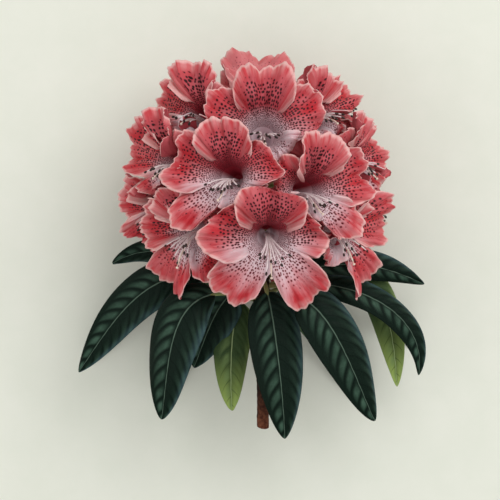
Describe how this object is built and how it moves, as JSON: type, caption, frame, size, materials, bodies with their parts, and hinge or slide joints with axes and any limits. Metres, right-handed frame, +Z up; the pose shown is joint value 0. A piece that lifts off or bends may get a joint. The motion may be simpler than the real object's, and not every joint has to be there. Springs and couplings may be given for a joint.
{
  "type": "cut rhododendron shoot",
  "caption": "Cut flowering rhododendron shoot lying on its side: a domed truss of ruffled coral-pink, dark-spotted blooms above a whorl of drooping leathery leaves on a short woody stem.",
  "frame": {"origin": "under the middle of the box round the shoot, on the ground it lies on", "axes": "+Y along the shoot from the cut end of the stem to the top of the truss, +Z up from the ground to the side of the shoot that faces up, +X to the right of that side with the blooms at the top"},
  "size_m": [0.2368, 0.265, 0.1529],
  "materials": {
    "petal": "thin ruffled coral-pink petals with pale margins, red streaks and maroon spots",
    "leaf": "leathery dark blue-green leaf with a soft gloss and sunken veins",
    "young_leaf": "softer yellow-green young leaf with a pale midrib",
    "bark": "red-brown ridged bark with a paler cut end",
    "stalk": "matte green flower stalk flushed with red"
  },
  "bodies": {
    "root": {"stem": "bark", "truss_axis": "stalk", "bloom_front_low": "petal", "bloom_front_left": "petal", "bloom_front_right": "petal", "bloom_front_high": "petal", "bloom_low_left": "petal", "bloom_left": "petal", "bloom_high_left": "petal", "bloom_high_right": "petal", "bloom_top": "petal", "bloom_right": "petal", "bloom_low_right": "petal", "bloom_far_left": "petal", "bloom_far_right": "petal", "bloom_back_low": "petal", "bloom_back_left": "petal", "bloom_back_right": "petal", "bloom_back_high": "petal", "bloom_back_high_left": "petal", "bloom_back_high_right": "petal", "leaf_front_left": "leaf", "leaf_front_centre": "leaf", "leaf_front_right": "leaf", "leaf_left": "leaf", "leaf_inner_left": "leaf", "leaf_young_left": "young_leaf", "leaf_young_right": "young_leaf", "leaf_curled_right": "leaf", "leaf_far_left": "leaf", "leaf_far_right": "leaf", "leaf_back_far_left": "leaf", "leaf_back_left": "leaf", "leaf_back_right": "leaf", "leaf_back_far_right": "leaf"}
  },
  "joints": []
}
